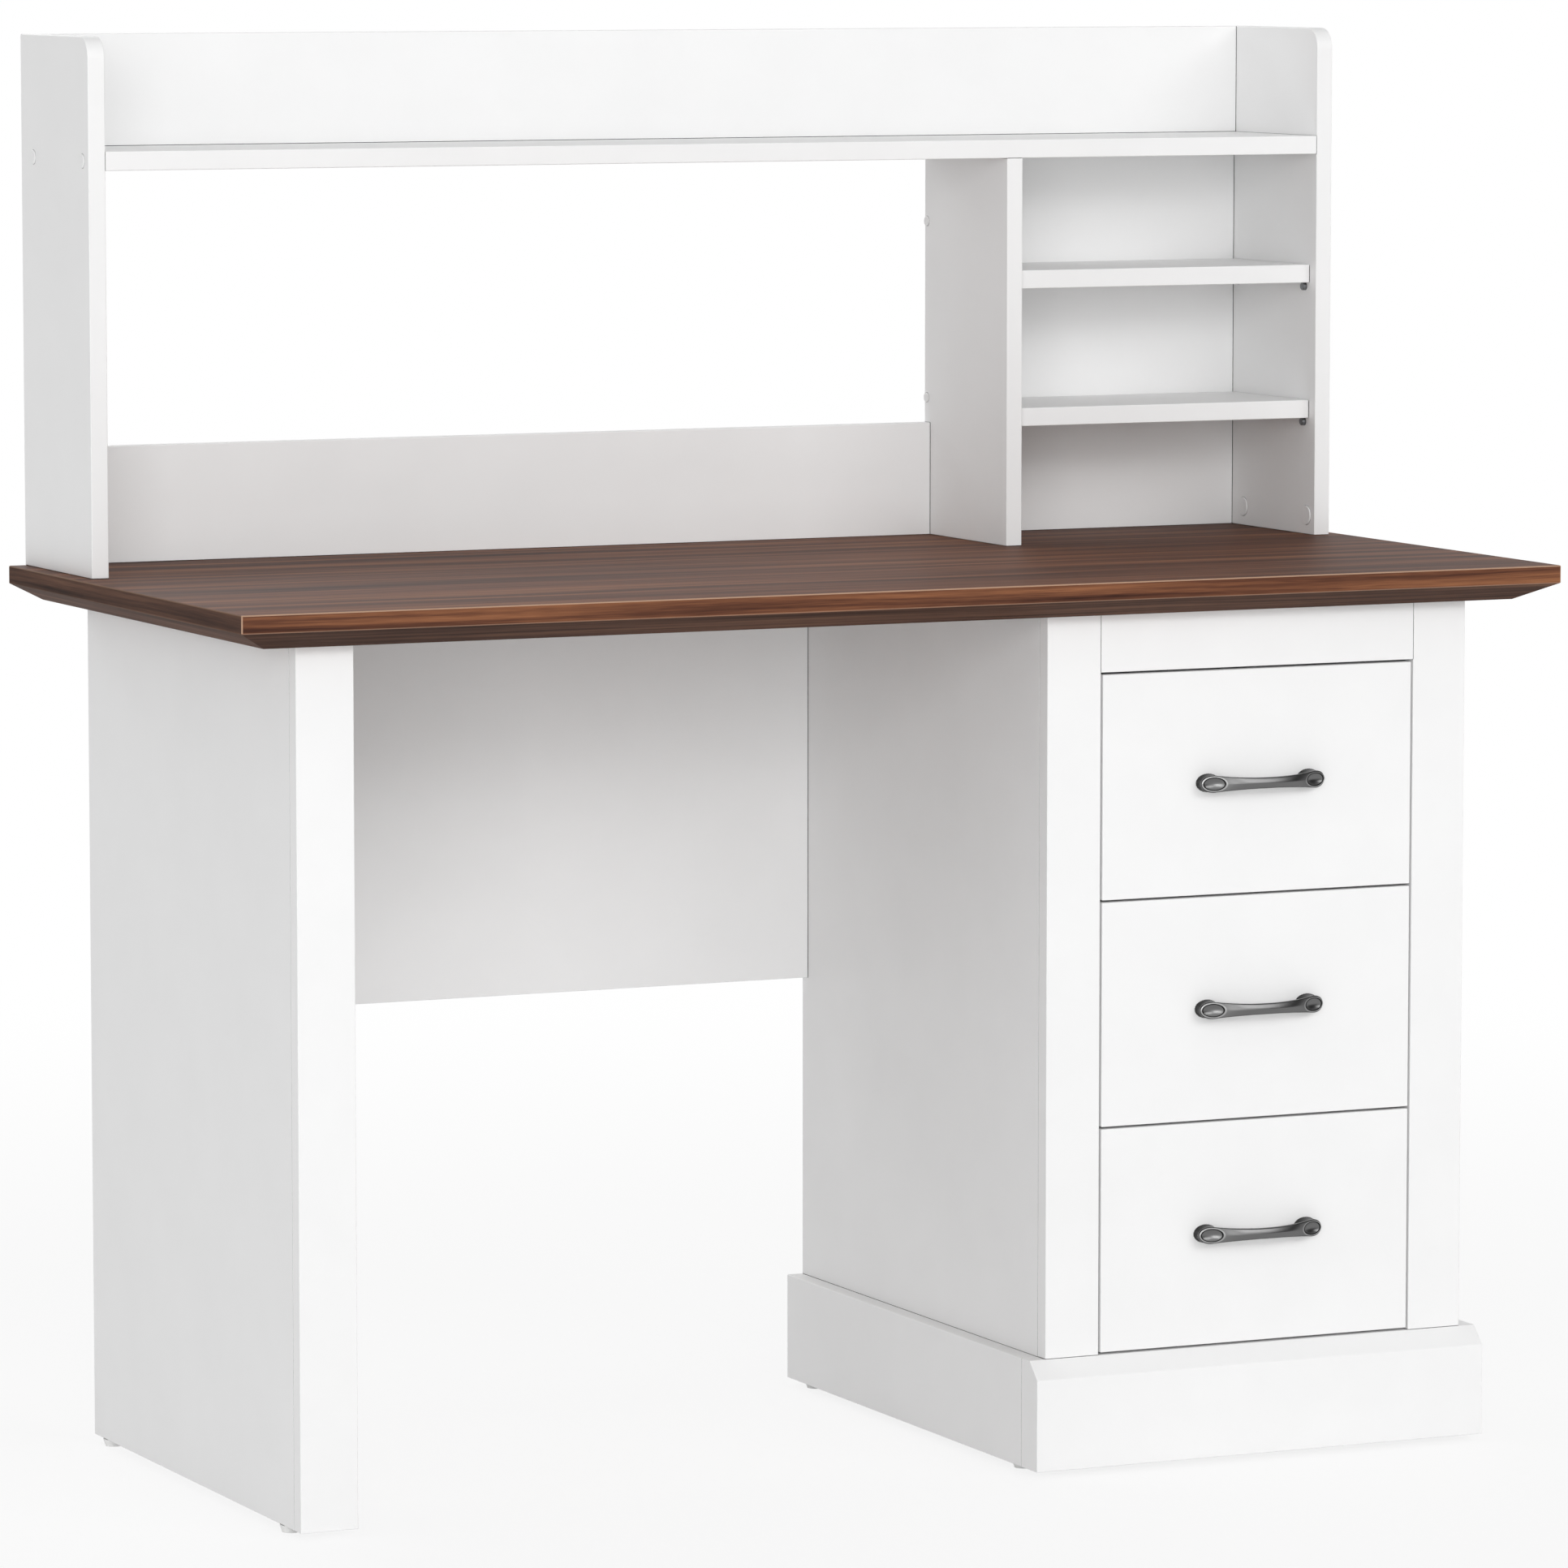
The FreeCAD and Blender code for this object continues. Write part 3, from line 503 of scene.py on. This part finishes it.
def handle_bar(half_length):
    """The waisted bar and its oval ends: a section carried along X, and each point's polish and painted
    shade.

    The width grows from the waist with a power of x and closes as a quarter ellipse. The face adds
    a ridge on the bar and a rounded edge. Each end is hollowed by d (1 - (p / e)^2) where the oval
    radius p = sqrt((x / a)^2 + (z / b)^2) about the end's middle is under e. The back is half an
    ellipse over a thinner edge.
    """
    half_spacing = handle_spacing / 2
    x = half_length * np.sin(np.linspace(-1, 1, bar_steps) * math.pi / 2)[:, None]
    out = np.abs(x)
    grow = handle_waist + (handle_end_height - handle_waist) * (out / half_spacing) ** waist_power
    close = np.clip((out - pad_turn_from) / (half_length - pad_turn_from), 0, 1)
    half_width = grow * np.sqrt(1 - close ** 2) / 2
    on_end = np.clip((out - ridge_ends[0]) / (ridge_ends[1] - ridge_ends[0]), 0, 1)
    on_end = on_end ** 2 * (3 - 2 * on_end)
    across = np.sin(np.linspace(1, -1, face_steps) * math.pi / 2)[None, :]
    z = across * half_width
    to_edge = np.minimum((1 - np.abs(across)) * half_width, edge_round)
    rounding = edge_round - np.sqrt(edge_round ** 2 - (edge_round - to_edge) ** 2)
    oval = np.hypot((out - half_spacing) / dish_oval[0], z / dish_oval[1])
    dish = dish_depth * np.clip(1 - (oval / dish_edge) ** 2, 0, 1)
    ridge = bar_ridge * (1 - np.abs(across) ** ridge_power)
    crown = end_crown * (1 - across ** 2)
    face = handle_front(x) + (1 - on_end) * ridge + on_end * crown - rounding - dish
    back_across = np.sin(np.linspace(-1, 1, back_steps) * math.pi / 2)[None, :]
    thickness = bar_thickness + (end_thickness - bar_thickness) * on_end
    swelling = (1 - back_edge_share) * np.sqrt(1 - back_across ** 2)
    back = handle_front(x) - thickness * (back_edge_share + swelling)
    ring_z = np.hstack([z, back_across * half_width])
    ring_out = np.hstack([face, back])
    points = np.stack([np.broadcast_to(x, ring_z.shape), -ring_out, ring_z], -1)
    # Painted highlight on the rims, painted shade on the dish walls and a painted dark reflection on the
    # edges.
    rim_polish_and_highlight_band = np.exp(-((oval - rim_line) / rim_band) ** 2) * on_end
    wall_painted_shade_band = np.exp(-((oval - dish_edge + wall_inset) / wall_band) ** 2)
    edge_dark_reflection_band = np.exp(-(to_edge / edge_band) ** 2)
    polish_and_painted_shade = rim_polish_and_highlight * rim_polish_and_highlight_band - wall_painted_shade_band - edge_painted_dark_reflection * edge_dark_reflection_band
    return points, np.hstack([polish_and_painted_shade, np.full(back.shape, back_painted_shade)])


def handle_post(side):
    """An oval post from the drawer front into the back of one end, closed at both ends.

    A ring is an ellipse, and its height is a share of the way to a little under the handle's face.
    """
    swell, level = (row[:, None] for row in np.array(post_profile).T)
    angle = np.linspace(0, 2 * math.pi, post_steps, endpoint=False)[None, :]
    x = side * handle_spacing / 2 + swell * post_half_length * np.cos(angle)
    z = swell * handle_end_height / 2 * np.sin(angle)
    y = -level * (handle_front(x) - post_sink)
    points = np.stack([x, y, z], -1)
    # Painted shade: the post is painted dark, as it stands in the shade behind the end.
    return points, np.full(x.shape, post_painted_shade)


def build_handle(name, node):
    """One handle of three closed skins, standing on the drawer front where its CAD node stands."""
    low, high = (np.array(corner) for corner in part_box(node))
    middle = np.array([(low[0] + high[0]) / 2, high[1], (low[2] + high[2]) / 2])
    grids = [handle_bar((high[0] - low[0]) / 2 / MM), handle_post(-1), handle_post(1)]
    first = np.cumsum([0] + [points[..., 0].size for points, _ in grids])
    skins = [ring_faces(*points.shape[:2], begin) for (points, _), begin in zip(grids, first)]
    faces = np.concatenate(skins)
    places = np.concatenate([points.reshape(-1, 3) for points, _ in grids]) * MM + middle
    mesh = bpy.data.meshes.new(name)
    mesh.from_pydata(places, [], faces)
    polish_and_painted_shade = np.concatenate([level.ravel() for _, level in grids]).astype(np.float32)
    mesh.attributes.new("polish_and_painted_shade", "FLOAT", "POINT").data.foreach_set("value", polish_and_painted_shade)
    mesh.polygons.foreach_set("use_smooth", np.ones(len(faces), bool))
    piece = shown(name, mesh)
    mesh.set_sharp_from_angle(angle=sharp_angle)
    return piece


def black_nickel():
    """Black nickel on cast zinc: a dark mirror softened by brushing along the bar.

    It is polished paler on the rims, where a painted highlight lies too, and painted shade and a
    painted dark reflection darken the edges, the walls of the dishes, the back and the posts.
    """
    brush_mm = 0.5
    brush_stretch = (6.0, 1.0, 1.0)
    material, tree = blank_material("black_nickel")
    place = millimetres(tree, brush_stretch)
    brush = put(tree, "ShaderNodeTexNoise", {"Vector": place, "Scale": 1 / brush_mm, "Detail": 2.0})
    # The attribute carries polish with painted highlight and painted shade; the ramp turns it to tone.
    polish_and_painted_shade = put(tree, "ShaderNodeAttribute", attribute_name="polish_and_painted_shade")
    share = put(tree, "ShaderNodeMapRange", {"Value": polish_and_painted_shade.outputs["Fac"], "From Min": -1.0})
    tone = put(tree, "ShaderNodeValToRGB", {"Fac": share.outputs["Result"]},
               ramp=[(0.0, "#101010"), (0.25, "#404040"), (0.5, "#868686"), (1.0, "#c8c8c8")])
    gloss = put(tree, "ShaderNodeMapRange", {
        "Value": brush.outputs["Fac"], "To Min": 0.26, "To Max": 0.38})
    finish_material(tree, put(tree, "ShaderNodeBsdfPrincipled", {
        "Base Color": tone.outputs["Color"], "Metallic": 1.0, "Roughness": gloss.outputs["Result"]}))
    return material


nickel = black_nickel()
for drawer in drawers:
    handle = build_handle(drawer + "_drawer_bow_handle", drawer + "_drawer_handle")
    handle.data.materials.append(nickel)
    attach(handle, drawer + "_drawer")
    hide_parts(drawer + "_drawer_handle")

# Shelf pins
# Turned steel studs with a grey zinc-nickel plating, pushed into holes in the divider and the right
# upright. The cubby shelves rest on their low round heads. Lengths are in mm.
pin_shank_length = 8.0
pin_shank_radius = 2.5
pin_head_length = 3.5
pin_head_radius = 3.5
pin_ease = 0.5
pin_sides = 32


def shelf_pin(hole, inward):
    """One stud as a profile of reach and radius turned about X, from inside its hole to its head."""
    neck, tip = pin_shank_length, pin_shank_length + pin_head_length
    reach = np.array([0, 0, neck, neck, neck + pin_ease, tip - pin_ease, tip, tip])[:, None]
    shank, head = pin_shank_radius, pin_head_radius
    eased = head - pin_ease
    radius = np.array([0, shank, shank, eased, head, head, eased, 0])[:, None]
    angle = inward * np.linspace(0, 2 * math.pi, pin_sides, endpoint=False)[None, :]
    along = np.broadcast_to(inward * reach, (len(reach), pin_sides))
    return np.stack([along, radius * np.cos(angle), radius * np.sin(angle)], -1) * MM + hole


def build_shelf_pins():
    """A stud in each of the eight places of the CAD pins, found as the corners of their common box."""
    low, high = (np.array(corner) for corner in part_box("shelf_pins"))
    radius = pin_head_radius * MM
    grids = [shelf_pin(np.array([x, y, z]), inward)
             for x, inward in ((low[0], 1), (high[0], -1))
             for y in (low[1] + radius, high[1] - radius)
             for z in (low[2] + radius, high[2] - radius)]
    points = np.stack(grids)
    each = points[0, ..., 0].size
    skins = [ring_faces(*points.shape[1:3], pin * each) for pin in range(len(grids))]
    faces = np.concatenate(skins)
    mesh = bpy.data.meshes.new("shelf_studs")
    mesh.from_pydata(points.reshape(-1, 3), [], faces)
    mesh.polygons.foreach_set("use_smooth", np.ones(len(faces), bool))
    piece = shown("shelf_studs", mesh)
    mesh.set_sharp_from_angle(angle=sharp_angle)
    return piece


pins = build_shelf_pins()
pin_plating = plated_steel("zinc_nickel_wire", "#7c7e81", "#96999c", 0.4, (1.0, 1.0, 1.0))
pins.data.materials.append(pin_plating)
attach(pins, "desk_frame")
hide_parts("shelf_pins")

# Cover caps
# Thin moulded discs of white polyethylene, pushed in by hand. They hide the screw heads and cams
# on the faces of the hutch.
dress(moulded_plastic("polyethylene_cap", "#f0f0f0", "#f2f2f2", 1.2, 0.45), "cover_caps")

# Floor
# A plain white studio floor. It lights the desk from below and holds its shadow, and far from the
# desk it fades into the white background.
floor_half = 8.0
floor_shadow = 0.16
floor_fade = (0.8, 3.2)


def studio_floor():
    """Matte white that turns to plain white in view as the distance from the desk grows."""
    material, tree = blank_material("matte_white_floor")
    place = put(tree, "ShaderNodeTexCoord")
    away = put(tree, "ShaderNodeVectorMath", {0: place.outputs["Object"]}, operation="LENGTH")
    fade = put(tree, "ShaderNodeMapRange", {
        "Value": away.outputs["Value"], "From Min": floor_fade[0], "From Max": floor_fade[1],
        "To Min": 1 - floor_shadow, "To Max": 1.0}, interpolation_type="SMOOTHSTEP")
    path = put(tree, "ShaderNodeLightPath")
    seen = put(tree, "ShaderNodeMath", {
        0: path.outputs["Is Camera Ray"], 1: path.outputs["Is Glossy Ray"]}, operation="MAXIMUM")
    share = put(tree, "ShaderNodeMath", {
        0: seen.outputs[0], 1: fade.outputs["Result"]}, operation="MULTIPLY")
    matte = put(tree, "ShaderNodeBsdfDiffuse", {"Color": linear("#f4f4f4")})
    plain = put(tree, "ShaderNodeEmission", {"Color": (1.0, 1.0, 1.0, 1.0), "Strength": 1.0})
    finish_material(tree, put(tree, "ShaderNodeMixShader", {
        0: share.outputs[0], 1: matte.outputs[0], 2: plain.outputs[0]}))
    return material


floor_mesh = bpy.data.meshes.new("floor")
floor_corners = [(-floor_half, -floor_half, 0), (floor_half, -floor_half, 0),
                 (floor_half, floor_half, 0), (-floor_half, floor_half, 0)]
floor_mesh.from_pydata(floor_corners, [], [(0, 1, 2, 3)])
floor = shown("floor", floor_mesh)
floor_mesh.materials.append(studio_floor())

# Light
# An even white room with a large soft box behind the camera, a wide one high at the front right that
# draws a bright line along the handles, and weaker ones at the left and behind. The end of the room
# at the front right is dark, which the metal shows.
room_light = 0.47
dark_end = (0.87, -0.49, 0.0)
# The room dims between these cosines of the angle to its dark end.
dark_cosines = (0.5, 0.95)
dark_level = 0.05
aim = Vector((0.0, 0.0, 0.7))


def soft_box(name, place, width, height, power):
    """A lamp of a width and a height at a place, turned to face the middle of the desk."""
    lamp = bpy.data.lights.new(name, "AREA")
    lamp.shape = "RECTANGLE"
    lamp.size = width
    lamp.size_y = height
    lamp.energy = power
    stand = bpy.data.objects.new(name, lamp)
    stand.location = place
    stand.rotation_euler = (aim - Vector(place)).to_track_quat("-Z", "Y").to_euler()
    bpy.context.scene.collection.objects.link(stand)


soft_box("key_box", place=(-4.25, -9.5, 2.3), width=5.6, height=4.5, power=378)
soft_box("upper_box", place=(2.55, -6.7, 3.65), width=5.4, height=2.1, power=140)
soft_box("left_box", place=(-6.0, -1.2, 1.9), width=4.0, height=4.0, power=24)
soft_box("back_box", place=(-0.5, 5.4, 3.8), width=4.0, height=2.5, power=85)
world = bpy.data.worlds.new("white_room")
world.use_nodes = True
sky = world.node_tree
sky.nodes.clear()
toward = put(sky, "ShaderNodeTexCoord")
facing = put(sky, "ShaderNodeVectorMath", {
    0: toward.outputs["Generated"], 1: dark_end}, operation="DOT_PRODUCT")
dimmed = put(sky, "ShaderNodeMapRange", {
    "Value": facing.outputs["Value"], "From Min": dark_cosines[0], "From Max": dark_cosines[1],
    "To Min": 1.0, "To Max": dark_level}, interpolation_type="SMOOTHSTEP")
path = put(sky, "ShaderNodeLightPath")
unmirrored = put(sky, "ShaderNodeMath", {
    0: 1.0, 1: path.outputs["Is Glossy Ray"]}, operation="SUBTRACT")
white = put(sky, "ShaderNodeMath", {
    0: dimmed.outputs["Result"], 1: unmirrored.outputs[0]}, operation="MAXIMUM")
seen = put(sky, "ShaderNodeMath", {
    0: path.outputs["Is Camera Ray"], 1: path.outputs["Is Glossy Ray"]}, operation="MAXIMUM")
seen_through = put(sky, "ShaderNodeMath", {
    0: seen.outputs[0], 1: path.outputs["Is Transmission Ray"]}, operation="MAXIMUM")
level = put(sky, "ShaderNodeMapRange", {
    "Value": seen_through.outputs[0], "To Min": room_light, "To Max": white.outputs[0]})
room = put(sky, "ShaderNodeBackground", {
    "Color": (1.0, 1.0, 1.0, 1.0), "Strength": level.outputs["Result"]})
put(sky, "ShaderNodeOutputWorld", {"Surface": room.outputs[0]})
bpy.context.scene.world = world
bpy.context.scene.view_settings.view_transform = "Standard"

# Camera
# A long lens seven metres away at the front left, a little above the top of the hutch. It is turned
# to the right and tilted down, both given in radians.
camera_turn = 0.4326
camera_tilt = 0.106
camera = bpy.data.cameras.new("camera")
camera.sensor_width = 36.0
camera.lens = 189.1
viewer = bpy.data.objects.new("camera", camera)
viewer.location = (-2.9285, -6.3394, 1.3131)
viewer.rotation_euler = (math.pi / 2 - camera_tilt, 0.0, -camera_turn)
bpy.context.scene.collection.objects.link(viewer)
bpy.context.scene.camera = viewer
